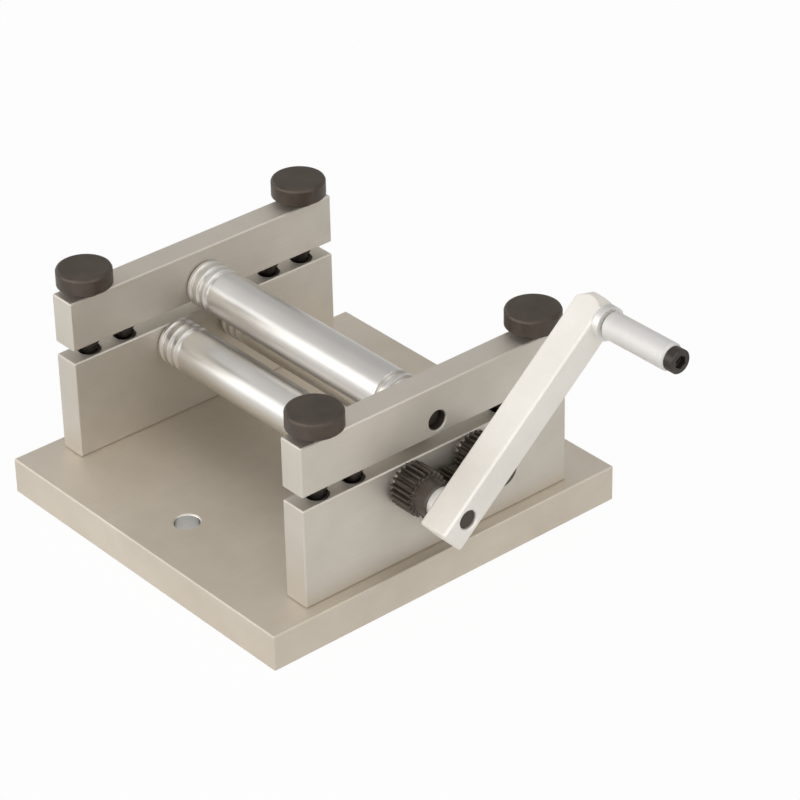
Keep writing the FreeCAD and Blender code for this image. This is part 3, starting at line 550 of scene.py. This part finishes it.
handle_y, handle_z = 0.05315, 0.11053
handle_axis = (0, handle_y, handle_z)
grip_light = (0.81, 0.795, 0.775, 1)
grip_dark = (0.75, 0.735, 0.715, 1)
grip_bright = (0.90, 0.89, 0.87, 1)
grip_aluminium = turned_metal("grip_aluminium", grip_light, grip_dark, grip_bright, handle_axis,
                              along_x, rings=1800.0, roughness=0.70, spread=0.04, depth=0.000006)
finish_pieces(grip_aluminium, "handle_grip")
collar_steel = turned_metal("collar_steel", collar_light, collar_dark, collar_bright, handle_axis,
                            along_x, rings=2200.0, roughness=0.50, spread=0.04, depth=0.000006)
finish_pieces(collar_steel, "handle_washer")
finish_pieces(screw_black, "handle_screw")

# ---------------------------------------------------------------- floor
# A plain white table, wide enough to have no edge in view. It takes the machine's soft shadow.
# The eye finds it and the room white, and gloss finds them white in part.

floor_half = 30.0
white_in_gloss = 0.3
floor_glow_share = 0.95
paper_white = (0.92, 0.92, 0.92, 1)
pure_white = (1, 1, 1, 1)
floor_mesh = bmesh.new()
corners = [(-floor_half, -floor_half), (floor_half, -floor_half),
           (floor_half, floor_half), (-floor_half, floor_half)]
floor_mesh.faces.new([floor_mesh.verts.new((x, y, 0)) for x, y in corners])


def seen_share(tree):
    """How white a ray finds the room: wholly for the eye and through glass, in part by gloss."""
    paths = shade(tree, "LightPath")
    gloss = shade(tree, "Math", {0: paths.outputs["Is Glossy Ray"], 1: white_in_gloss},
                  operation="MULTIPLY")
    straight = shade(tree, "Math", {0: paths.outputs["Is Camera Ray"],
                                    1: paths.outputs["Is Transmission Ray"]}, operation="MAXIMUM")
    either = shade(tree, "Math", {0: straight.outputs[0], 1: gloss.outputs[0]}, operation="MAXIMUM")
    return either.outputs[0]


def make_floor_white():
    """White paint that takes shadow, seen almost as pure white."""
    material = bpy.data.materials.new("floor_white")
    material.use_nodes = True
    tree = material.node_tree
    tree.nodes.clear()
    share = shade(tree, "Math", {0: seen_share(tree), 1: floor_glow_share}, operation="MULTIPLY")
    paper = shade(tree, "BsdfDiffuse", {"Color": paper_white})
    glow = shade(tree, "Emission", {"Color": pure_white, "Strength": 1.0})
    both = shade(tree, "MixShader", {0: share.outputs[0], 1: paper.outputs[0], 2: glow.outputs[0]})
    shade(tree, "OutputMaterial", {"Surface": both.outputs[0]})
    return material


floor = make_object("floor", floor_mesh, make_floor_white())

# ---------------------------------------------------------------- light
# Large soft boxes low in front and on the crank side, weak ones to the left, above and behind,
# and an even, pale and slightly warm room.

lit_spot = Vector((0, 0, 0.05))
room_light = (1.0, 0.985, 0.965, 1)
room_strength = 0.32


def soft_box(name, direction, distance, width, height, power):
    """A square-cornered area lamp that faces the machine."""
    data = bpy.data.lights.new(name, "AREA")
    data.shape = "RECTANGLE"
    data.size = width
    data.size_y = height
    data.energy = power
    lamp = bpy.data.objects.new(name, data)
    way = Vector(direction).normalized()
    lamp.location = lit_spot + way * distance
    lamp.rotation_euler = way.to_track_quat("Z", "Y").to_euler()
    bpy.context.scene.collection.objects.link(lamp)


soft_box("front_box", direction=(-0.14, -0.95, 0.33), distance=2.4,
         width=4.0, height=2.0, power=39.0)
soft_box("right_box", direction=(0.85, -0.26, 0.42), distance=2.4,
         width=3.2, height=2.4, power=20.5)
soft_box("left_box", direction=(-0.9, -0.1, 0.4), distance=1.8,
         width=1.2, height=1.2, power=3.0)
soft_box("top_box", direction=(-0.10, 0.09, 1.0), distance=1.2,
         width=0.8, height=0.8, power=0.9)
soft_box("back_box", direction=(0.55, 0.35, 0.80), distance=2.0,
         width=1.6, height=1.6, power=5.0)

world = bpy.data.worlds.new("room")
bpy.context.scene.world = world
world.use_nodes = True
room = world.node_tree
room.nodes.clear()
light = shade(room, "Background", {"Color": room_light, "Strength": room_strength})
white = shade(room, "Background", {"Color": pure_white, "Strength": 1.0})
either = shade(room, "MixShader", {0: seen_share(room), 1: light.outputs[0], 2: white.outputs[0]})
shade(room, "OutputWorld", {"Surface": either.outputs[0]})
bpy.context.scene.view_settings.view_transform = "Standard"

# ---------------------------------------------------------------- camera
# A long lens that looks down on the machine from the front right, tilted a little to one side,
# and far enough away to keep the plates' edges nearly parallel.

target = Vector((0.05706, -0.00086, 0.07210))
distance = 1.3508
focal_length, sensor_width, far_clip = 157.72, 36.0, 100.0
azimuth, elevation, roll = math.radians(49.98), math.radians(31.76), math.radians(-1.26)
back = Vector((math.sin(azimuth) * math.cos(elevation),
               -math.cos(azimuth) * math.cos(elevation),
               math.sin(elevation)))
level_right = Vector((math.cos(azimuth), math.sin(azimuth), 0))
level_up = back.cross(level_right)
right = level_right * math.cos(roll) + level_up * math.sin(roll)
up = level_up * math.cos(roll) - level_right * math.sin(roll)
camera_data = bpy.data.cameras.new("camera")
camera_data.sensor_width = sensor_width
camera_data.lens = focal_length
camera_data.clip_end = far_clip
camera = bpy.data.objects.new("camera", camera_data)
bpy.context.scene.collection.objects.link(camera)
stand = target + back * distance
camera.matrix_world = Matrix((
    (right.x, up.x, back.x, stand.x),
    (right.y, up.y, back.y, stand.y),
    (right.z, up.z, back.z, stand.z),
    (0, 0, 0, 1),
))
bpy.context.scene.camera = camera
